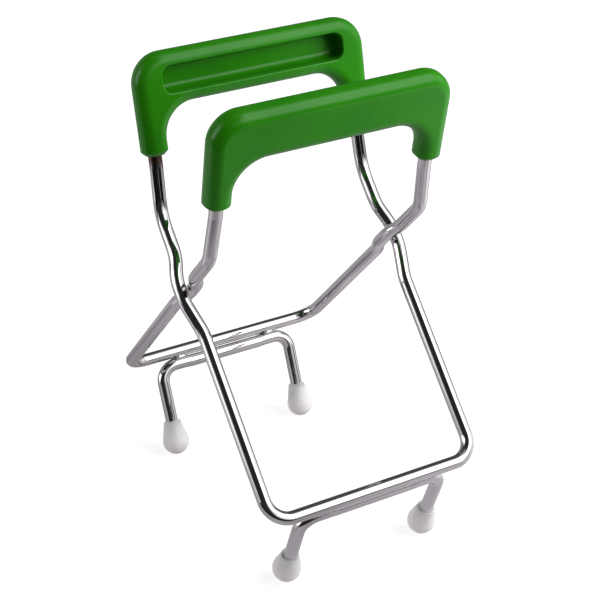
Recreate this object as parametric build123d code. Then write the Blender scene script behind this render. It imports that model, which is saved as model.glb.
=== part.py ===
"""Jar lifter: two chromed wire frames that cross like scissors, each with a grip and two rubber feet.

Units are millimetres, with +Z up.  X runs along the grips, the rear grip is on the +Y side.
The origin is on the ground, under the crossing of the two frames.
"""
from build123d import *
import math
import os

# ---------- driving dimensions ----------
rod_diameter = 6.5            # wire of the two crossing frames
foot_rod_diameter = 6.5       # wire of the two foot brackets

outer_leg_spacing = 110.0     # between the outer frame's leg centres, below its grip
inner_leg_spacing = 111.2     # between the inner frame's leg centres, below its grip
grip_spacing = 108.0          # between the leg centres inside a grip
narrowing = 24.0              # along the leg, upper bend to where it takes the grip's spacing
leg_slant = 44.0              # degrees from vertical, from the upper bend to the crossbar
grip_lean = 11.8              # degrees from vertical, of the leg inside the grip
crossing_to_bend = 37.6       # along the leg, crossing to upper bend
crossing_to_crossbar = 115.8  # along the leg, crossing to crossbar
outer_bend_radius = 27.0      # upper bends
inner_bend_radius = 12.0
corner_radius = 11.0          # legs into crossbar

crossing_clearance = 0.4      # between the two wires where they cross
joggle_flat = 11.0            # straight stretch of the joggle, centred on the crossing
outer_joggle_up = 11.5        # ramps of the outer frame's joggle, measured along the leg
outer_joggle_down = 16.5
inner_joggle_up = 8.5         # ramps of the inner frame's joggle
inner_joggle_down = 10.5
outer_joggle_radius = 28.0
inner_joggle_radius = 14.0

sleeve_start = 29.5           # along the leg, upper bend to the sleeve's mouth
sleeve_diameter = 12.6        # across, along X
grip_thickness = 12.6         # from the jar side to the outer side
bar_start = 51.6              # along the leg, upper bend to the bar's underside
bar_height = 25.1
bar_offset = -0.4             # bar's middle from the leg's centre, outwards
grip_corner_radius = 15.0
grip_arch_radius = 15.5
grip_edge_radius = 5.6
sleeve_chamfer = 1.8
rod_insertion = 36.0          # wire inside its sleeve
bore_clearance = 0.05         # radial, wire in sleeve and wire in foot

pocket_length = 95.0
pocket_height = 13.0
pocket_below = 5.5            # bar's underside to the pocket
pocket_wall = 3.2             # plastic left behind the pocket
pocket_corner_radius = 4.6
pocket_draft = 4.0            # degrees
pocket_floor_radius = 3.0
pocket_edge_radius = 0.8

foot_spacing = 76.4           # between the foot wires of one bracket
foot_lean = 22.0              # degrees from vertical, feet point inwards
foot_length = 40.47           # bracket's corner to the middle of the rubber ball
foot_bend_radius = 8.5
weld_gap = 0.05               # between crossbar and bracket at the welds
bracket_drop = 62.0           # degrees below level, from the crossbar to the bracket
bracket_standoff = 0.3        # how much further away the bracket's middle runs
standoff_inner = 20.0         # bracket's joggle, from the middle plane
standoff_outer = 24.0
standoff_radius = 3.0
weld_middle = 26.6            # from the middle plane
weld_length = 6.0
weld_bead_radius = 1.35
weld_bead_offset = 2.1        # bead's centre from the line where the wires meet
weld_end_rounding = 0.8       # share of the bead's radius

cap_ball_radius = 7.05
cap_mouth_radius = 4.4
cap_mouth_to_ball = 11.3
cap_recess_radius = 3.6
cap_recess_depth = 1.6
cap_recess_shift_x = 0.42     # the wire doesn't sit in the middle of the cap's mouth
cap_recess_shift_y = -0.23
cap_mouth_fillet = 0.5

# ---------- derived places, in the side view (Y, Z) of a frame with its grip in front ----------
rod_radius = rod_diameter / 2
foot_rod_radius = foot_rod_diameter / 2
slant = math.radians(leg_slant)
lean = math.radians(grip_lean)
foot_tilt = math.radians(foot_lean)
drop = math.radians(bracket_drop)

along_leg = Vector(0, math.sin(slant), -math.cos(slant))       # down the slanted leg, to the rear
to_bracket = Vector(0, -math.cos(drop), -math.sin(drop))       # from the crossbar
beside_bracket = Vector(0, math.sin(drop), -math.cos(drop))    # square to that
along_foot = Vector(0, -math.sin(foot_tilt), -math.cos(foot_tilt))
along_grip = Vector(0, -math.sin(lean), math.cos(lean))
grip_outward = Vector(0, -math.cos(lean), -math.sin(lean))     # away from the jar

weld_distance = rod_radius + foot_rod_radius + weld_gap
crossbar_from_crossing = along_leg * crossing_to_crossbar
bracket_from_crossing = crossbar_from_crossing + to_bracket * weld_distance
ball_from_crossing = bracket_from_crossing + along_foot * foot_length
crossing_height = cap_ball_radius - ball_from_crossing.Z

crossing = Vector(0, 0, crossing_height)
upper_bend = crossing - along_leg * crossing_to_bend
crossbar = crossing + crossbar_from_crossing
bracket_line = crossing + bracket_from_crossing
ball_centre = crossing + ball_from_crossing
wires_apart = rod_diameter + crossing_clearance
outer_leg_at_crossing = (outer_leg_spacing + inner_leg_spacing) / 4 + wires_apart / 2
inner_leg_at_crossing = outer_leg_at_crossing - wires_apart
from_its_base = (Align.CENTER, Align.CENTER, Align.MIN)


def across(x, point):
    """The given point of the side view, moved to x."""
    return Vector(x, point.Y, point.Z)


def mirrored_route(right_half):
    """A route from the left end to the right end, from its right half listed middle first."""
    left_half = [Vector(-p.X, p.Y, p.Z) for p in reversed(right_half)]
    return left_half + right_half


def wire_rod(points, radii, radius):
    """A round wire bent along the points, with one bend radius for each inner point."""
    route = FilletPolyline(*points, radius=radii)
    start = Plane(origin=route @ 0, z_dir=route % 0)
    return sweep(start * Circle(radius), path=route)


def turned_to_other_side(shape):
    """The same piece on the other half of the lifter: turned half round about the vertical."""
    return Rot(0, 0, 180) * shape


# ---------- wire frames ----------
def frame_rod(leg_spacing, at_crossing, ramp_up, ramp_down, joggle_radius, bend_radius):
    """One wire frame with its grip in front and its crossbar at the rear."""
    at_leg = leg_spacing / 2
    at_grip = grip_spacing / 2
    half_flat = joggle_flat / 2
    right_half = [
        across(at_leg, crossbar),
        across(at_leg, crossing + along_leg * (half_flat + ramp_down)),
        across(at_crossing, crossing + along_leg * half_flat),
        across(at_crossing, crossing - along_leg * half_flat),
        across(at_leg, crossing - along_leg * (half_flat + ramp_up)),
        across(at_leg, upper_bend),
        across(at_grip, upper_bend + along_grip * narrowing),
        across(at_grip, upper_bend + along_grip * (sleeve_start + rod_insertion)),
    ]
    bends = [corner_radius] + [joggle_radius] * 4 + [bend_radius, joggle_radius]
    return wire_rod(mirrored_route(right_half), bends[::-1] + bends, rod_radius)


# ---------- moulded grip ----------
def grip_outline():
    """Face of the grip seen square to its legs: x across, y along the legs from the upper bend."""
    half_width = grip_spacing / 2 + sleeve_diameter / 2
    inner_half = grip_spacing / 2 - sleeve_diameter / 2
    top = bar_start + bar_height
    outer = Pos(0, (sleeve_start + top) / 2) * Rectangle(2 * half_width, top - sleeve_start)
    outer = fillet(outer.vertices().group_by(Axis.Y)[-1], grip_corner_radius)
    notch = Pos(0, (sleeve_start + bar_start) / 2) * Rectangle(2 * inner_half, bar_start - sleeve_start)
    notch = fillet(notch.vertices().group_by(Axis.Y)[-1], grip_arch_radius)
    return outer - notch


def pocket_cutter(inner_face):
    """Drafted pocket with a rounded floor, cut from the jar side of the bar."""
    depth = grip_thickness - pocket_wall
    middle = bar_start + pocket_below + pocket_height / 2
    mouth = RectangleRounded(pocket_length, pocket_height, pocket_corner_radius)
    cutter = extrude(Pos(0, middle, inner_face) * mouth, amount=depth, taper=pocket_draft)
    floor_edges = cutter.faces().sort_by(Axis.Z)[-1].edges()
    return fillet(floor_edges, pocket_floor_radius)


def grip():
    """Front grip: a thick rounded bar with a sleeve down each leg and a pocket on the jar side."""
    inner_face = bar_offset - grip_thickness / 2
    body = extrude(Pos(0, 0, inner_face) * grip_outline(), amount=grip_thickness)
    ends = body.faces().filter_by(Axis.Y).group_by(Axis.Y)[0]
    end_edges = [edge for face in ends for edge in face.edges()]
    rim = [
        edge
        for group in (body.edges().group_by(Axis.Z)[0], body.edges().group_by(Axis.Z)[-1])
        for edge in group
        if not any(edge.is_same(other) for other in end_edges)
    ]
    body = fillet(rim, grip_edge_radius)
    ends = body.faces().filter_by(Axis.Y).group_by(Axis.Y)[0]
    body = chamfer([edge for face in ends for edge in face.edges()], sleeve_chamfer)
    body = body - pocket_cutter(inner_face)
    mouth_edges = body.edges().group_by(Axis.Z)[0].filter_by(lambda edge: edge.center().Y > bar_start)
    body = fillet(mouth_edges, pocket_edge_radius)
    bore_depth = rod_insertion + bore_clearance
    for side in (-1, 1):
        bore = Cylinder(rod_radius + bore_clearance, bore_depth, align=from_its_base)
        body -= Pos(side * grip_spacing / 2, sleeve_start, 0) * Rot(-90, 0, 0) * bore
    place = Plane(origin=upper_bend, x_dir=(1, 0, 0), z_dir=grip_outward)
    return place.location * body


# ---------- foot bracket, welds and rubber feet ----------
def foot_bracket():
    """Rear foot bracket: a U of wire under the crossbar, its two feet pointing down and inwards."""
    standoff_line = bracket_line + to_bracket * bracket_standoff
    half_foot = foot_spacing / 2
    right_half = [
        across(standoff_inner, standoff_line),
        across(standoff_outer, bracket_line),
        across(half_foot, bracket_line),
        across(half_foot, ball_centre),
    ]
    bends = [standoff_radius, standoff_radius, foot_bend_radius]
    return wire_rod(mirrored_route(right_half), bends[::-1] + bends, foot_rod_radius)


def weld_beads(side, frame, bracket):
    """The two beads of one weld, one in each valley between crossbar and bracket."""
    meeting_line = crossbar + to_bracket * (rod_radius + weld_gap / 2)
    beads = []
    for valley in (-1, 1):
        middle = meeting_line + beside_bracket * (valley * weld_bead_offset)
        core = Cylinder(weld_bead_radius, weld_length, rotation=(0, 90, 0))
        bead = Pos(side * weld_middle, middle.Y, middle.Z) * core
        bead = fillet(bead.edges(), weld_end_rounding * weld_bead_radius)
        beads.append(bead - frame - bracket)
    return beads


def foot_cap(side):
    """Rear rubber foot: a cone that runs into a ball, with a bore for the wire and a wider mouth."""
    reach = math.hypot(cap_mouth_radius, cap_mouth_to_ball)
    to_tangent = math.atan2(cap_mouth_radius, cap_mouth_to_ball) + math.acos(cap_ball_radius / reach)
    tangent_radius = cap_ball_radius * math.sin(to_tangent)
    tangent_height = cap_ball_radius * math.cos(to_tangent)
    mouth = (cap_mouth_radius, cap_mouth_to_ball)
    tangent = (tangent_radius, tangent_height)
    lowest = (0, -cap_ball_radius)
    below = math.pi / 2 + to_tangent / 2
    on_ball = (cap_ball_radius * math.sin(below), cap_ball_radius * math.cos(below))
    outline = Line((0, cap_mouth_to_ball), mouth) + Line(mouth, tangent)
    outline += ThreePointArc(tangent, on_ball, lowest) + Line(lowest, (0, cap_mouth_to_ball))
    body = revolve(Plane.XZ * make_face(outline), axis=Axis.Z)
    body = fillet(body.edges().group_by(Axis.Z)[-1], cap_mouth_fillet)
    bore_depth = cap_mouth_to_ball + bore_clearance
    bore = Cylinder(foot_rod_radius + bore_clearance, bore_depth, align=from_its_base)
    body -= Pos(0, 0, -bore_clearance) * bore
    recess = Cylinder(cap_recess_radius, cap_recess_depth, align=from_its_base)
    recess_floor = cap_mouth_to_ball - cap_recess_depth
    body -= Pos(cap_recess_shift_x, cap_recess_shift_y, recess_floor) * recess
    foot_end = across(side * foot_spacing / 2, ball_centre)
    place = Plane(origin=foot_end, x_dir=(1, 0, 0), z_dir=-along_foot)
    return place.location * body


# ---------- the whole lifter ----------
def build_pieces():
    """Every piece of the lifter, by name, in its place."""
    inner_frame = frame_rod(
        inner_leg_spacing,
        inner_leg_at_crossing,
        inner_joggle_up,
        inner_joggle_down,
        inner_joggle_radius,
        inner_bend_radius,
    )
    outer_frame = turned_to_other_side(frame_rod(
        outer_leg_spacing,
        outer_leg_at_crossing,
        outer_joggle_up,
        outer_joggle_down,
        outer_joggle_radius,
        outer_bend_radius,
    ))
    front_grip = grip()
    rear_bracket = foot_bracket()
    pieces = {
        "inner_frame": inner_frame,
        "outer_frame": outer_frame,
        "front_grip": front_grip,
        "rear_grip": turned_to_other_side(front_grip),
        "rear_foot_bracket": rear_bracket,
        "front_foot_bracket": turned_to_other_side(rear_bracket),
    }
    for side, name, opposite in ((-1, "left", "right"), (1, "right", "left")):
        beads = weld_beads(side, inner_frame, rear_bracket)
        pieces[f"rear_{name}_weld"] = Compound(children=beads)
        pieces[f"front_{opposite}_weld"] = Compound(children=[turned_to_other_side(bead) for bead in beads])
        cap = foot_cap(side)
        pieces[f"rear_{name}_foot_cap"] = cap
        pieces[f"front_{opposite}_foot_cap"] = turned_to_other_side(cap)
    return pieces


os.makedirs("parts", exist_ok=True)
for node, shape in build_pieces().items():
    export_step(shape, f"parts/{node}.step")
print("crossing height", round(crossing_height, 2))
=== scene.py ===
"""Jar lifter: its finishes, its welds, its studio and its camera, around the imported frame.

Everything is in metres, with +Z up. X runs along the grips, +Y from the front grip to the rear
one, and the floor is at Z = 0.
"""

import logging
import math
from collections.abc import Callable
from dataclasses import dataclass
from enum import Enum

import bmesh
import bpy
from mathutils import Matrix, Vector


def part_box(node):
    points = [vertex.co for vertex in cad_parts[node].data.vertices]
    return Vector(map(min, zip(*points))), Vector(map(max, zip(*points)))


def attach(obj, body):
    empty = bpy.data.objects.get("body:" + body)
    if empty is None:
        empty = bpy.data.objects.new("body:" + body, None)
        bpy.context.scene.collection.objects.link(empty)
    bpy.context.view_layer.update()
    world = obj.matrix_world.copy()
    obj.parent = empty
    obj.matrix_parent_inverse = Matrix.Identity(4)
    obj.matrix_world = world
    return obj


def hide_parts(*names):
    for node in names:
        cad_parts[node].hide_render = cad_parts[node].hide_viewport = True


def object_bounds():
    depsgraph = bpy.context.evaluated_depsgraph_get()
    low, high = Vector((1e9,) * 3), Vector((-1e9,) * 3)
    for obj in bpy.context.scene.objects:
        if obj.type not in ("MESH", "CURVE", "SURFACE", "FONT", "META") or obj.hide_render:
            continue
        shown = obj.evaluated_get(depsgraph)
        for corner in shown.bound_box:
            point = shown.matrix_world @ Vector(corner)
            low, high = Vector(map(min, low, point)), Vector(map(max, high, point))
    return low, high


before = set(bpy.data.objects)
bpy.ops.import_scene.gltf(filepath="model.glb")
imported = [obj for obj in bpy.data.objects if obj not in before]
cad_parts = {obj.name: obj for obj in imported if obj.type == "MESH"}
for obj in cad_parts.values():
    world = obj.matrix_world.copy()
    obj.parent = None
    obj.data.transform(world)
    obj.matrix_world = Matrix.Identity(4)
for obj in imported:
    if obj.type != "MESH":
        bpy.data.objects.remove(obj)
CAD_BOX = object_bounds()

LOG = logging.getLogger("jar_lifter")

Colour = tuple[float, float, float]
Span = tuple[float, float]
WHITE = (1.0, 1.0, 1.0, 1.0)
UP = Vector((0, 0, 1))


class Slot(Enum):
    """The record's material slots."""

    WIRE = "chromed_wire"
    WELD = "weld"
    GRIP = "grip_plastic"
    FOOT = "foot_rubber"


class Half(Enum):
    """The two halves that turn about the crossings, by body."""

    OUTER = "outer_half"
    INNER = "inner_half"


@dataclass(frozen=True)
class Pattern:
    """A noise pattern in object space.

    Attributes:
        scale: Cycles per metre.
        detail: How many finer layers it has.
        span: The two values of the noise between which a look changes; noise is about 0.5.
    """

    scale: float
    detail: float
    span: Span = (0.3, 0.7)


class Board:
    """A node tree with short ways to add nodes and join them."""

    def __init__(self, tree: bpy.types.NodeTree) -> None:
        """Empties the tree.

        Args:
            tree: The node tree of a material or of the world.
        """
        self.tree = tree
        tree.nodes.clear()

    def add(self, kind: str, **settings: object) -> bpy.types.Node:
        """Adds a node.

        Args:
            kind: The node's type, such as ShaderNodeMath.
            **settings: Properties of the node, by name.

        Returns:
            The new node.
        """
        node = self.tree.nodes.new(kind)
        for name, value in settings.items():
            setattr(node, name, value)
        return node

    def feed(self, node: bpy.types.Node, **inputs: object) -> bpy.types.Node:
        """Sets or links a node's inputs.

        An underscore in a name stands for a space, and i0 is the node's first input.

        Args:
            node: The node.
            **inputs: A value, or an output socket to link.

        Returns:
            The same node.
        """
        for name, value in inputs.items():
            key = int(name[1:]) if name[1:].isdigit() else name.replace("_", " ")
            socket = node.inputs[key]
            if isinstance(value, bpy.types.NodeSocket):
                self.tree.links.new(value, socket)
            else:
                socket.default_value = value
        return node

    def math(self, operation: str, *values: object) -> bpy.types.NodeSocket:
        """Adds a Math node.

        Args:
            operation: The operation's name.
            *values: Numbers or output sockets.

        Returns:
            The node's output.
        """
        node = self.add("ShaderNodeMath", operation=operation)
        self.feed(node, **{f"i{place}": value for place, value in enumerate(values)})
        return node.outputs[0]

    def dot(self, socket: bpy.types.NodeSocket, direction: Vector) -> bpy.types.NodeSocket:
        """Measures how far a vector points along a fixed direction.

        Args:
            socket: The vector.
            direction: The fixed direction.

        Returns:
            The dot product's output.
        """
        node = self.add("ShaderNodeVectorMath", operation="DOT_PRODUCT")
        self.feed(node, i0=socket, i1=tuple(direction))
        return node.outputs["Value"]

    def ramp(
        self, value: object, low: float, high: float, start: float, end: float
    ) -> bpy.types.NodeSocket:
        """Smoothly maps low..high to start..end.

        Args:
            value: A number or an output socket.
            low: The value that gives start.
            high: The value that gives end.
            start: The result at low.
            end: The result at high.

        Returns:
            The node's output.
        """
        node = self.add("ShaderNodeMapRange", interpolation_type="SMOOTHSTEP")
        self.feed(node, Value=value, From_Min=low, From_Max=high, To_Min=start, To_Max=end)
        return node.outputs["Result"]

    def inside(self, value: bpy.types.NodeSocket, half: float, edge: float) -> bpy.types.NodeSocket:
        """Gives one where a value lies within a half width of zero, and nothing beyond it.

        Args:
            value: The value.
            half: The half width.
            edge: How far the soft edge reaches to each side of it.

        Returns:
            The node's output.
        """
        return self.ramp(self.math("ABSOLUTE", value), half - edge, half + edge, 1.0, 0.0)

    def noise(self, position: bpy.types.NodeSocket, pattern: Pattern) -> bpy.types.NodeSocket:
        """Lays a noise pattern.

        Args:
            position: The coordinates.
            pattern: The pattern.

        Returns:
            The noise's value.
        """
        node = self.add("ShaderNodeTexNoise")
        self.feed(node, Vector=position, Scale=pattern.scale, Detail=pattern.detail)
        return node.outputs["Fac"]

    def mix(
        self, share: bpy.types.NodeSocket, first: Colour, second: Colour
    ) -> bpy.types.NodeSocket:
        """Mixes two colours.

        Args:
            share: The second colour's share.
            first: The first colour.
            second: The second colour.

        Returns:
            The mixed colour.
        """
        node = self.add("ShaderNodeMix", data_type="RGBA")
        self.feed(node, i0=share, i6=(*first, 1.0), i7=(*second, 1.0))
        return node.outputs[2]

    def bump(
        self, height: bpy.types.NodeSocket, distance: float, normal: object = None
    ) -> bpy.types.NodeSocket:
        """Adds a bump.

        Args:
            height: The pattern.
            distance: Its depth in metres.
            normal: The normal of a bump under this one.

        Returns:
            The bumped normal.
        """
        node = self.add("ShaderNodeBump")
        self.feed(node, Height=height, Distance=distance, Strength=1.0)
        if normal is not None:
            self.feed(node, Normal=normal)
        return node.outputs["Normal"]


class Finish:
    """A material made of nodes."""

    name: str = "finish"

    def start(self) -> tuple[bpy.types.Material, Board, bpy.types.Node, bpy.types.NodeSocket]:
        """Makes an empty material.

        Returns:
            The material, its board, its Principled shader and the object coordinates.
        """
        material = bpy.data.materials.new(self.name)
        material.use_nodes = True
        board = Board(material.node_tree)
        shader = board.add("ShaderNodeBsdfPrincipled")
        output = board.add("ShaderNodeOutputMaterial")
        board.feed(output, Surface=shader.outputs["BSDF"])
        place = board.add("ShaderNodeTexCoord").outputs["Object"]
        return material, board, shader, place


@dataclass(frozen=True)
class ChromeFinish(Finish):
    """Bright chrome plating on drawn steel wire, with a brown stain where a sleeve holds water.

    Attributes:
        stain_at: The middle of the stain, under the rear left sleeve.
        stain_reach: The distances from there at which it starts to fade and is gone.
        stain_cover: Its strength where its pattern is weakest and strongest.
    """

    name: str = "bright_chrome"
    tint: Colour = (0.67, 0.663, 0.67)
    smear: Pattern = Pattern(scale=55.0, detail=4.0, span=(0.35, 0.7))
    roughness: Span = (0.03, 0.06)
    ripple: Pattern = Pattern(scale=95.0, detail=1.0)
    ripple_depth: float = 0.00004
    stain: Colour = (0.115, 0.055, 0.030)
    stain_at: tuple[float, float, float] = (-0.0540, 0.0322, 0.1890)
    stain_reach: Span = (0.0040, 0.0080)
    stain_roughness: float = 0.30
    stain_patches: Pattern = Pattern(scale=450.0, detail=3.0, span=(0.3, 0.6))
    stain_cover: Span = (0.75, 1.0)

    def material(self) -> bpy.types.Material:
        """Builds the material.

        Returns:
            The material.
        """
        material, board, shader, place = self.start()
        polish = board.ramp(board.noise(place, self.smear), *self.smear.span, *self.roughness)
        ripple = board.bump(board.noise(place, self.ripple), self.ripple_depth)
        away = board.add("ShaderNodeVectorMath", operation="DISTANCE")
        board.feed(away, i0=place, i1=self.stain_at)
        near = board.ramp(away.outputs["Value"], *self.stain_reach, 1.0, 0.0)
        patches = board.noise(place, self.stain_patches)
        cover = board.ramp(patches, *self.stain_patches.span, *self.stain_cover)
        share = board.math("MULTIPLY", near, cover)
        colour = board.mix(share, self.tint, self.stain)
        roughness = board.math("MULTIPLY_ADD", share, self.stain_roughness, polish)
        board.feed(shader, Base_Color=colour, Metallic=1.0, Roughness=roughness, Normal=ripple)
        return material


@dataclass(frozen=True)
class WeldFinish(Finish):
    """Chrome over a resistance weld: duller, and a little lumpy."""

    name: str = "plated_weld"
    tint: Colour = (0.60, 0.59, 0.605)
    roughness: Span = (0.12, 0.22)
    lumps: Pattern = Pattern(scale=500.0, detail=3.0)
    lump_depth: float = 0.00004

    def material(self) -> bpy.types.Material:
        """Builds the material.

        Returns:
            The material.
        """
        material, board, shader, place = self.start()
        lumps = board.noise(place, self.lumps)
        roughness = board.ramp(lumps, *self.lumps.span, *self.roughness)
        normal = board.bump(lumps, self.lump_depth)
        board.feed(shader, Base_Color=(*self.tint, 1.0), Metallic=1.0)
        board.feed(shader, Roughness=roughness, Normal=normal)
        return material


@dataclass(frozen=True)
class GripFinish(Finish):
    """Satin green plastic, injection moulded, with a fine spark-eroded grain.

    Attributes:
        sinks: The shallow unevenness that a thick moulding takes as it cools.
        gloss: The specular level.
    """

    name: str = "green_moulded_plastic"
    colour: Colour = (0.025, 0.237, 0.0040)
    deeper: Colour = (0.019, 0.212, 0.0030)
    clouds: Pattern = Pattern(scale=45.0, detail=3.0)
    roughness: Span = (0.20, 0.27)
    gloss: float = 0.24
    grain: Pattern = Pattern(scale=3200.0, detail=2.0)
    grain_depth: float = 0.000012
    sinks: Pattern = Pattern(scale=60.0, detail=1.0)
    sink_depth: float = 0.00006

    def material(self) -> bpy.types.Material:
        """Builds the material.

        Returns:
            The material.
        """
        material, board, shader, place = self.start()
        clouds = board.noise(place, self.clouds)
        share = board.ramp(clouds, *self.clouds.span, 0.0, 1.0)
        colour = board.mix(share, self.colour, self.deeper)
        roughness = board.ramp(clouds, *self.clouds.span, *self.roughness)
        sinks = board.bump(board.noise(place, self.sinks), self.sink_depth)
        normal = board.bump(board.noise(place, self.grain), self.grain_depth, sinks)
        board.feed(shader, Base_Color=colour, Roughness=roughness, Normal=normal)
        board.feed(shader, Specular_IOR_Level=self.gloss)
        return material


@dataclass(frozen=True)
class RubberFinish(Finish):
    """Matt off-white rubber that lets some light in, with a little dust in its grain.

    Attributes:
        light_share: How much of the light goes in before it comes out again.
        light_depth: How far it travels inside, in metres.
        light_spread: How that distance differs between red, green and blue.
    """

    name: str = "white_rubber"
    colour: Colour = (0.755, 0.73, 0.738)
    dusty: Colour = (0.70, 0.675, 0.68)
    roughness: float = 0.52
    dust: Pattern = Pattern(scale=260.0, detail=5.0, span=(0.45, 0.75))
    grain: Pattern = Pattern(scale=2800.0, detail=2.0)
    grain_depth: float = 0.00002
    light_share: float = 1.0
    light_depth: float = 0.009
    light_spread: tuple[float, float, float] = (1.0, 0.95, 0.95)

    def material(self) -> bpy.types.Material:
        """Builds the material.

        Returns:
            The material.
        """
        material, board, shader, place = self.start()
        share = board.ramp(board.noise(place, self.dust), *self.dust.span, 0.0, 1.0)
        colour = board.mix(share, self.colour, self.dusty)
        normal = board.bump(board.noise(place, self.grain), self.grain_depth)
        board.feed(shader, Base_Color=colour, Roughness=self.roughness, Normal=normal)
        board.feed(shader, Subsurface_Weight=self.light_share, Subsurface_Scale=self.light_depth)
        board.feed(shader, Subsurface_Radius=self.light_spread)
        return material


Wardrobe = dict[Slot, bpy.types.Material]


@dataclass
class SubAssembly:
    """A part of the lifter that is made or bought as one lot, with the nodes that belong to it."""

    label: str = "sub-assembly"
    nodes: tuple[str, ...] = ()
    slot: Slot = Slot.WIRE

    def dress(self, wardrobe: Wardrobe) -> None:
        """Gives each CAD node its finish.

        Args:
            wardrobe: The finish of each slot.
        """
        for node in self.nodes:
            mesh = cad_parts[node].data
            if not mesh.materials:
                mesh.materials.append(wardrobe[self.slot])
            for place in range(len(mesh.materials)):
                mesh.materials[place] = wardrobe[self.slot]
            LOG.info("%s: %s wears %s", self.label, node, wardrobe[self.slot].name)

    def build(self, wardrobe: Wardrobe) -> None:
        """Makes what the sub-assembly needs; here the CAD nodes keep their shapes.

        Args:
            wardrobe: The finish of each slot.
        """
        self.dress(wardrobe)


@dataclass
class CrossedFrames(SubAssembly):
    """The two bent wires that cross like scissors."""

    label: str = "crossed frames"
    nodes: tuple[str, ...] = ("outer_frame", "inner_frame")
    slot: Slot = Slot.WIRE


@dataclass
class GripPair(SubAssembly):
    """The two moulded grips, with their pockets towards each other."""

    label: str = "grips"
    nodes: tuple[str, ...] = ("rear_grip", "front_grip")
    slot: Slot = Slot.GRIP


@dataclass
class FootBrackets(SubAssembly):
    """The two U-shaped wires under the jaw bars."""

    label: str = "foot brackets"
    nodes: tuple[str, ...] = ("rear_foot_bracket", "front_foot_bracket")
    slot: Slot = Slot.WIRE


@dataclass
class FootCaps(SubAssembly):
    """The four rubber balls pushed over the brackets' ends."""

    label: str = "foot caps"
    nodes: tuple[str, ...] = (
        "rear_left_foot_cap",
        "rear_right_foot_cap",
        "front_left_foot_cap",
        "front_right_foot_cap",
    )
    slot: Slot = Slot.FOOT


def pick(piece: bpy.types.Object, chosen: Callable[[Vector], bool]) -> None:
    """Selects, in edit mode, the vertices at chosen places and nothing else.

    Args:
        piece: The object in edit mode.
        chosen: Says whether the vertex at a place is selected.
    """
    bpy.ops.mesh.select_all(action="DESELECT")
    mesh = bmesh.from_edit_mesh(piece.data)
    for vertex in mesh.verts:
        vertex.select = chosen(vertex.co)
    mesh.select_flush(True)
    bmesh.update_edit_mesh(piece.data)


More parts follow.
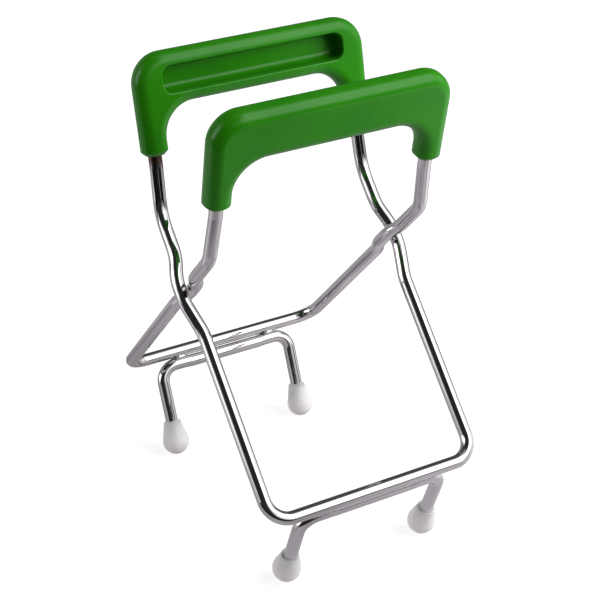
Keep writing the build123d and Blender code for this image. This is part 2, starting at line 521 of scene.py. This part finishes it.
@dataclass
class Welds(SubAssembly):
    """The welds between jaw bars and foot brackets.

    Each has a bead on both sides of the line where the two wires meet.

    Attributes:
        length: A bead's length, along the wires.
        reach: Its width away from the line where the wires meet.
        thickness: Its width from one wire to the other.
        from_meeting_line: How far its middle is from the line where the wires meet.
        rings: How many rings a bead is cut into.
        sides: How many sides a ring has.
        ring_tolerance: How near to a ring's place its vertices are found, in shares of a bead.
        end_share: The width of a bead's ends, as a share of its middle.
        ripple: How much a ring is wider or narrower than the smooth form.
        smoothing: The levels of subdivision.
        tilt: How far the way from one wire's middle to the other's leans from upright, in degrees.
    """

    label: str = "welds"
    nodes: tuple[str, ...] = (
        "rear_left_weld",
        "rear_right_weld",
        "front_left_weld",
        "front_right_weld",
    )
    slot: Slot = Slot.WELD
    length: float = 0.0078
    reach: float = 0.0031
    thickness: float = 0.0029
    from_meeting_line: float = 0.00155
    rings: int = 11
    sides: int = 20
    ring_tolerance: float = 0.01
    end_share: float = 0.12
    ripple: float = 0.05
    smoothing: int = 2
    tilt: float = 28.0

    def bead(self) -> bpy.types.Object:
        """Models one bead along X, cut into rings that narrow to its ends and ripple.

        Returns:
            The bead, with its middle at the origin.
        """
        bpy.ops.object.select_all(action="DESELECT")
        bpy.ops.mesh.primitive_cylinder_add(
            vertices=self.sides, radius=0.5, depth=1.0, rotation=(0, math.pi / 2, 0)
        )
        bead = bpy.context.object
        bpy.ops.object.transform_apply(location=False, rotation=True, scale=False)
        bpy.ops.object.mode_set(mode="EDIT")
        bpy.context.tool_settings.mesh_select_mode = (True, False, False)
        places = [ring / (self.rings - 1) - 0.5 for ring in range(self.rings)]
        for place in places[1:-1]:
            bpy.ops.mesh.select_all(action="SELECT")
            bpy.ops.mesh.bisect(plane_co=(place, 0, 0), plane_no=(1, 0, 0))
        for ring, place in enumerate(places):
            pick(bead, lambda spot, here=place: abs(spot.x - here) < self.ring_tolerance)
            width = max(self.end_share, math.sqrt(max(0.0, 1 - (2 * place) ** 2)))
            width *= 1 + self.ripple * (-1) ** ring
            bpy.ops.transform.resize(value=(1, width, width), center_override=(place, 0, 0))
        bpy.ops.mesh.select_all(action="SELECT")
        size = (self.length, self.reach, self.thickness)
        bpy.ops.transform.resize(value=size, center_override=(0, 0, 0))
        bpy.ops.object.mode_set(mode="OBJECT")
        smooth = bead.modifiers.new("smooth", "SUBSURF")
        smooth.levels = smooth.render_levels = self.smoothing
        bpy.ops.object.modifier_apply(modifier=smooth.name)
        bpy.ops.object.shade_smooth()
        return bead

    def weld(self) -> bpy.types.Object:
        """Models one weld about the meeting line, which lies along X through the origin.

        Returns:
            Its two beads as one mesh.
        """
        weld = self.bead()
        weld.location.y = self.from_meeting_line
        bpy.ops.object.duplicate()
        bpy.context.object.location.y = -self.from_meeting_line
        weld.select_set(True)
        bpy.ops.object.join()
        bpy.ops.object.transform_apply(location=True, rotation=True, scale=True)
        return bpy.context.object

    def build(self, wardrobe: Wardrobe) -> None:
        """Lays a weld at each CAD weld's place and hides that one.

        Args:
            wardrobe: The finish of each slot.
        """
        self.dress(wardrobe)
        model = self.weld()
        for node in self.nodes:
            at_rear = node.startswith("rear")
            bpy.ops.object.select_all(action="DESELECT")
            model.select_set(True)
            bpy.context.view_layer.objects.active = model
            bpy.ops.object.duplicate()
            weld = bpy.context.object
            weld.name = node + "_beads"
            low, high = (Vector(corner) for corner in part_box(node))
            weld.location = (low + high) / 2
            weld.rotation_euler.x = math.radians(-self.tilt if at_rear else 180 + self.tilt)
            bpy.ops.object.transform_apply(location=True, rotation=True, scale=True)
            weld.data.materials.clear()
            weld.data.materials.append(wardrobe[self.slot])
            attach(weld, (Half.INNER if at_rear else Half.OUTER).value)
            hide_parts(node)
            LOG.info("%s: %s laid, %d faces", self.label, weld.name, len(weld.data.polygons))
        bpy.data.objects.remove(model)


@dataclass(frozen=True)
class Card:
    """A soft-edged panel of light in the studio, far away.

    Attributes:
        azimuth: The way to its middle from +Y towards +X, in degrees.
        elevation: The way to its middle above the horizon, in degrees.
        half_width: Half its width, at a distance of one.
        half_height: Half its height, at a distance of one.
        brightness: Its strength.
        edge: How far its soft edge reaches to each side.
        tilt: How far it is turned about its middle, in degrees.
        least_ahead: How far ahead a direction must point at least to count as facing it.
    """

    azimuth: float
    elevation: float
    half_width: float
    half_height: float
    brightness: float
    edge: float
    tilt: float = 0.0
    least_ahead: float = 0.05

    def axes(self) -> tuple[Vector, Vector, Vector]:
        """Finds how the card lies.

        Returns:
            The directions to its middle, to its right and to its top.
        """
        middle = pointing(self.azimuth, self.elevation)
        right = middle.cross(UP).normalized()
        top = right.cross(middle)
        turn = Matrix.Rotation(math.radians(self.tilt), 3, middle)
        return middle, turn @ right, turn @ top

    def light(self, board: Board, direction: bpy.types.NodeSocket) -> bpy.types.NodeSocket:
        """Works out its brightness in each direction.

        Args:
            board: The world's board.
            direction: The direction that the ray looks in.

        Returns:
            The brightness.
        """
        middle, right, top = self.axes()
        depth = board.dot(direction, middle)
        ahead = board.math("MAXIMUM", depth, self.least_ahead)
        value = board.math("GREATER_THAN", depth, self.least_ahead)
        for axis, half in ((right, self.half_width), (top, self.half_height)):
            across = board.math("DIVIDE", board.dot(direction, axis), ahead)
            value = board.math("MULTIPLY", value, board.inside(across, half, self.edge))
        return board.math("MULTIPLY", value, self.brightness)


def pointing(azimuth: float, elevation: float) -> Vector:
    """Finds a direction.

    Args:
        azimuth: From +Y towards +X, in degrees.
        elevation: Above the horizon, in degrees.

    Returns:
        The unit vector.
    """
    turn, rise = math.radians(azimuth), math.radians(elevation)
    level = math.cos(rise)
    return Vector((math.sin(turn) * level, math.cos(turn) * level, math.sin(rise)))


@dataclass(frozen=True)
class Pool:
    """A soft-edged patch of light, or of shade, on the table.

    Attributes:
        x: The place of its middle along the grips.
        y: The place of its middle from front to rear.
        half_x: Half its size along X.
        half_y: Half its size along Y.
        level: The brightness of a patch of light, or the share of light that a shade takes away.
        edge: How far its soft edge reaches to each side.
    """

    x: float
    y: float
    half_x: float
    half_y: float
    level: float
    edge: float

    def light(self, board: Board, place: bpy.types.NodeSocket) -> bpy.types.NodeSocket:
        """Works out its brightness at each place.

        Args:
            board: The table material's board.
            place: The place on the table.

        Returns:
            The brightness.
        """
        value: object = self.level
        along_x = (Vector((1, 0, 0)), self.x, self.half_x)
        along_y = (Vector((0, 1, 0)), self.y, self.half_y)
        for axis, middle, half in (along_x, along_y):
            across = board.math("SUBTRACT", board.dot(place, axis), middle)
            value = board.math("MULTIPLY", value, board.inside(across, half, self.edge))
        return value


@dataclass(frozen=True)
class Lamp:
    """A soft square lamp that points at the middle of the object.

    Attributes:
        name: Its name.
        azimuth: The way to it from +Y towards +X, in degrees.
        elevation: The way to it above the horizon, in degrees.
        power: Its power in watts.
        size: The length of its sides.
        distance: How far it is from the middle of the object.
    """

    name: str
    azimuth: float
    elevation: float
    power: float
    size: float
    distance: float


@dataclass
class Studio:
    """A dark room with soft boxes, reflectors, two lamps and a pale table.

    Attributes:
        room_behind: The room's brightness behind the object, as seen from the front.
        room_in_front: Its brightness in front of the object.
        room_turn: How far a direction points to the front where the one starts to give way to
            the other, and where it has.
        front_azimuth: The way to the front, from +Y towards +X, in degrees.
        front_elevation: The way to the front above the horizon, in degrees.
        diffuse_share: The share of the room's light that falls on what isn't a mirror.
        hot_core: The card brightness from which a card's middle is hotter, and where it is
            hottest.
        hot_core_extra: What the hottest middle adds.
        hot_core_bounces: A ray mirrored more often than this doesn't see the hot middles.
        table_paint: The reflectance that takes the object's shadow.
        camera_lift: What the table adds for the camera, so that it is white with a faint shadow.
        table_tint: The colour of its light.
        table_level: Its brightness where the object stands and beyond.
        table_far_level: Its brightness behind the object.
        table_turn: How far to the front the one starts to give way to the other, and where it has.
        table_cloth: The uneven brightness of the table.
        table_patches: Its share of the brightness where that is weakest and strongest.
        front_edge_azimuth: The way to the table's painted front edge, in degrees; the plane runs on
            past it.
        front_edge: Where the painted edge starts to darken and is dark.
        past_edge: The share of its brightness that is left past the painted edge.
        bounce_reach: The distances between which the bounced light changes.
        bounce: How much stronger than the mirrored light the bounced light is there.
        under_reach: The distances from a piece between which the table leaves its shade.
        under: The share of the bounced light right under a piece.
        cards: The soft boxes and reflectors.
        pools: The patches of light on the table.
        shadows: The patches of shade on the table.
        lamps: The lamps.
    """

    room_behind: float = 0.07
    room_in_front: float = 0.026
    room_turn: Span = (-0.1, 0.55)
    front_azimuth: float = -140.0
    front_elevation: float = 20.0
    diffuse_share: float = 0.80
    hot_core: Span = (1.22, 1.53)
    hot_core_extra: float = 2.0
    hot_core_bounces: float = 1.5
    table_size: float = 14.0
    table_paint: float = 0.40
    camera_lift: float = 0.76
    table_tint: Colour = (1.0, 0.942, 1.0)
    table_level: float = 0.46
    table_far_level: float = 0.40
    table_turn: Span = (-1.0, -0.3)
    table_cloth: Pattern = Pattern(scale=9.0, detail=2.0, span=(0.35, 0.65))
    table_patches: Span = (0.82, 1.14)
    front_edge_azimuth: float = -150.0
    front_edge: Span = (0.17, 0.33)
    past_edge: float = 0.02
    bounce_reach: Span = (0.10, 0.45)
    bounce: Span = (1.85, 0.45)
    under_reach: Span = (0.003, 0.035)
    under: float = 0.50
    cards: tuple[Card, ...] = (
        Card(135, 41, half_width=0.68, half_height=0.385, brightness=1.53, edge=0.20, tilt=48),
        Card(106, 16, half_width=0.375, half_height=0.325, brightness=1.27, edge=0.16, tilt=-34),
        Card(165, 24, half_width=0.35, half_height=0.26, brightness=1.14, edge=0.16, tilt=-22),
        Card(87, 58, half_width=0.21, half_height=0.79, brightness=0.47, edge=0.18, tilt=-6),
        Card(-73, 20, half_width=0.36, half_height=0.50, brightness=1.50, edge=0.22, tilt=-7),
        Card(-22, 6, half_width=0.45, half_height=0.40, brightness=0.36, edge=0.20),
    )
    pools: tuple[Pool, ...] = (
        Pool(x=0.44, y=-0.30, half_x=0.24, half_y=0.36, level=1.30, edge=0.11),
        Pool(x=0.27, y=-0.06, half_x=0.20, half_y=0.13, level=0.86, edge=0.09),
        Pool(x=-0.60, y=0.16, half_x=0.16, half_y=0.11, level=1.50, edge=0.06),
        Pool(x=-0.34, y=0.13, half_x=0.16, half_y=0.09, level=0.79, edge=0.07),
        Pool(x=0.08, y=-0.08, half_x=0.08, half_y=0.19, level=0.63, edge=0.07),
    )
    shadows: tuple[Pool, ...] = (
        Pool(x=0.54, y=0.15, half_x=0.24, half_y=0.11, level=0.85, edge=0.08),
        Pool(x=-0.08, y=0.13, half_x=0.08, half_y=0.07, level=0.20, edge=0.05),
    )
    lamps: tuple[Lamp, ...] = (
        Lamp("near_box", azimuth=127, elevation=27, power=1.08, size=0.28, distance=0.40),
        Lamp("back_fill", azimuth=5, elevation=3, power=16, size=1.2, distance=1.5),
    )

    def world(self) -> None:
        """Makes the room: white past the object to the camera, soft boxes to the metal."""
        world = bpy.data.worlds.new("studio_room")
        bpy.context.scene.world = world
        world.use_nodes = True
        board = Board(world.node_tree)
        direction = board.add("ShaderNodeTexCoord").outputs["Generated"]
        facing = board.dot(direction, pointing(self.front_azimuth, self.front_elevation))
        value = board.ramp(facing, *self.room_turn, self.room_behind, self.room_in_front)
        for card in self.cards:
            value = board.math("MAXIMUM", value, card.light(board, direction))
        path = board.add("ShaderNodeLightPath").outputs
        core = board.ramp(value, *self.hot_core, 0.0, self.hot_core_extra)
        first = board.math("LESS_THAN", path["Glossy Depth"], self.hot_core_bounces)
        value = board.math("ADD", value, board.math("MULTIPLY", core, first))
        less = self.diffuse_share - 1.0
        share = board.math("MULTIPLY_ADD", path["Is Diffuse Ray"], less, 1.0)
        value = board.math("MULTIPLY", value, share)
        strength = board.add("ShaderNodeMix", data_type="FLOAT")
        board.feed(strength, i0=path["Is Camera Ray"], i2=value, i3=1.0)
        background = board.add("ShaderNodeBackground")
        board.feed(background, Color=WHITE, Strength=strength.outputs[0])
        board.feed(board.add("ShaderNodeOutputWorld"), Surface=background.outputs["Background"])

    def table_light(self, board: Board) -> bpy.types.NodeSocket:
        """Works out how brightly each place of the table lights the object.

        It is a painted glow. In the metal it is dark past a painted front edge that the plane
        doesn't have, with painted pools of light and shade on it. The painted light that it bounces
        is stronger under the object, and weaker far out and, as painted shade, right under a piece.

        Args:
            board: The table material's board.

        Returns:
            The brightness.
        """
        place = board.add("ShaderNodeTexCoord").outputs["Object"]
        to_front = board.dot(place, pointing(self.front_edge_azimuth, 0))
        level = board.ramp(to_front, *self.table_turn, self.table_far_level, self.table_level)
        cloth = board.noise(place, self.table_cloth)
        patches = board.ramp(cloth, *self.table_cloth.span, *self.table_patches)
        level = board.math("MULTIPLY", level, patches)
        # Painted shade: the glow darkens past a front edge that the plane doesn't have.
        edge = board.ramp(to_front, *self.front_edge, 1.0, self.past_edge)
        level = board.math("MULTIPLY", level, edge)
        # Painted patches of shade, then painted pools of light, on the table's glow.
        for pool in self.shadows:
            left = board.math("SUBTRACT", 1.0, pool.light(board, place))
            level = board.math("MULTIPLY", level, left)
        for pool in self.pools:
            level = board.math("MAXIMUM", level, pool.light(board, place))
        away = board.add("ShaderNodeVectorMath", operation="LENGTH")
        board.feed(away, i0=place)
        path = board.add("ShaderNodeLightPath").outputs
        bounce = board.ramp(away.outputs["Value"], *self.bounce_reach, *self.bounce)
        # Painted shade right under each piece, by how far the bounced ray came.
        under = board.ramp(path["Ray Length"], *self.under_reach, self.under, 1.0)
        change = board.math("SUBTRACT", board.math("MULTIPLY", bounce, under), 1.0)
        share = board.math("MULTIPLY_ADD", path["Is Diffuse Ray"], change, 1.0)
        return board.math("MULTIPLY", level, share)

    def table(self) -> None:
        """Lays the pale table, white to the camera but for the object's shadow, and a painted glow
        of light and shade to every other ray.
        """
        bpy.ops.object.select_all(action="DESELECT")
        bpy.ops.mesh.primitive_plane_add(size=self.table_size)
        table = bpy.context.object
        table.name = "table"
        material = bpy.data.materials.new("pale_table")
        material.use_nodes = True
        board = Board(material.node_tree)
        path = board.add("ShaderNodeLightPath").outputs
        paint = board.add("ShaderNodeBsdfDiffuse")
        board.feed(paint, Color=(self.table_paint, self.table_paint, self.table_paint, 1.0))
        lift = board.add("ShaderNodeEmission")
        board.feed(lift, Strength=self.camera_lift)
        seen = board.add("ShaderNodeAddShader")
        board.feed(seen, i0=paint.outputs[0], i1=lift.outputs[0])
        # Painted light: to every ray but the camera's the table glows, and the metal mirrors that
        # glow.
        mirrored = board.add("ShaderNodeEmission")
        board.feed(mirrored, Color=(*self.table_tint, 1.0), Strength=self.table_light(board))
        both = board.add("ShaderNodeMixShader")
        board.feed(both, i0=path["Is Camera Ray"], i1=mirrored.outputs[0], i2=seen.outputs[0])
        board.feed(board.add("ShaderNodeOutputMaterial"), Surface=both.outputs[0])
        table.data.materials.append(material)

    def hang(self, lamp: Lamp) -> None:
        """Hangs a soft lamp that lights the object but isn't mirrored in it.

        Args:
            lamp: The lamp.
        """
        data = bpy.data.lights.new(lamp.name, "AREA")
        data.size = lamp.size
        data.energy = lamp.power
        hung = bpy.data.objects.new(lamp.name, data)
        bpy.context.scene.collection.objects.link(hung)
        away = pointing(lamp.azimuth, lamp.elevation)
        hung.location = (CAD_BOX[0] + CAD_BOX[1]) / 2 + away * lamp.distance
        hung.rotation_mode = "QUATERNION"
        hung.rotation_quaternion = away.to_track_quat("Z", "Y")
        hung.visible_glossy = False
        hung.visible_camera = False

    def build(self) -> None:
        """Makes the room, the table and the lamps."""
        self.world()
        self.table()
        for lamp in self.lamps:
            self.hang(lamp)


@dataclass
class Camera:
    """The camera, which stands in front of the lifter, to its left and above it.

    Attributes:
        azimuth: The way it looks from +Y towards +X, in degrees.
        elevation: How far it looks down, in degrees.
        roll: How far it is turned about the way it looks, in degrees.
        distance: How far it is from the point it looks at.
        aim: That point.
        sensor: Its sensor's width, in millimetres.
        lens: Its focal length, in millimetres.
        clip: The nearest and the farthest that it sees.
    """

    azimuth: float = 28.79
    elevation: float = 28.91
    roll: float = -0.57
    distance: float = 0.76791
    aim: tuple[float, float, float] = (-0.00070, -0.00973, 0.11761)
    sensor: float = 36.0
    lens: float = 95.9
    clip: Span = (0.01, 100.0)

    def build(self) -> None:
        """Sets the scene's camera."""
        data = bpy.data.cameras.new("camera")
        data.sensor_width = self.sensor
        data.lens = self.lens
        data.clip_start, data.clip_end = self.clip
        camera = bpy.data.objects.new("camera", data)
        bpy.context.scene.collection.objects.link(camera)
        ahead = pointing(self.azimuth, -self.elevation)
        roll = Matrix.Rotation(math.radians(-self.roll), 3, ahead)
        right = roll @ ahead.cross(UP).normalized()
        top = right.cross(ahead)
        turn = Matrix((right, top, -ahead)).transposed()
        stand = Matrix.Translation(Vector(self.aim) - ahead * self.distance)
        camera.matrix_world = stand @ turn.to_4x4()
        bpy.context.scene.camera = camera


def main() -> None:
    """Dresses the lifter, builds the studio and sets the camera."""
    logging.basicConfig(level=logging.INFO, format="%(name)s: %(message)s")
    wardrobe = {
        Slot.WIRE: ChromeFinish().material(),
        Slot.WELD: WeldFinish().material(),
        Slot.GRIP: GripFinish().material(),
        Slot.FOOT: RubberFinish().material(),
    }
    for lot in (CrossedFrames(), GripPair(), FootBrackets(), Welds(), FootCaps()):
        lot.build(wardrobe)
    Studio().build()
    Camera().build()
    bpy.context.scene.view_settings.view_transform = "Standard"


if __name__ == "__main__":
    main()
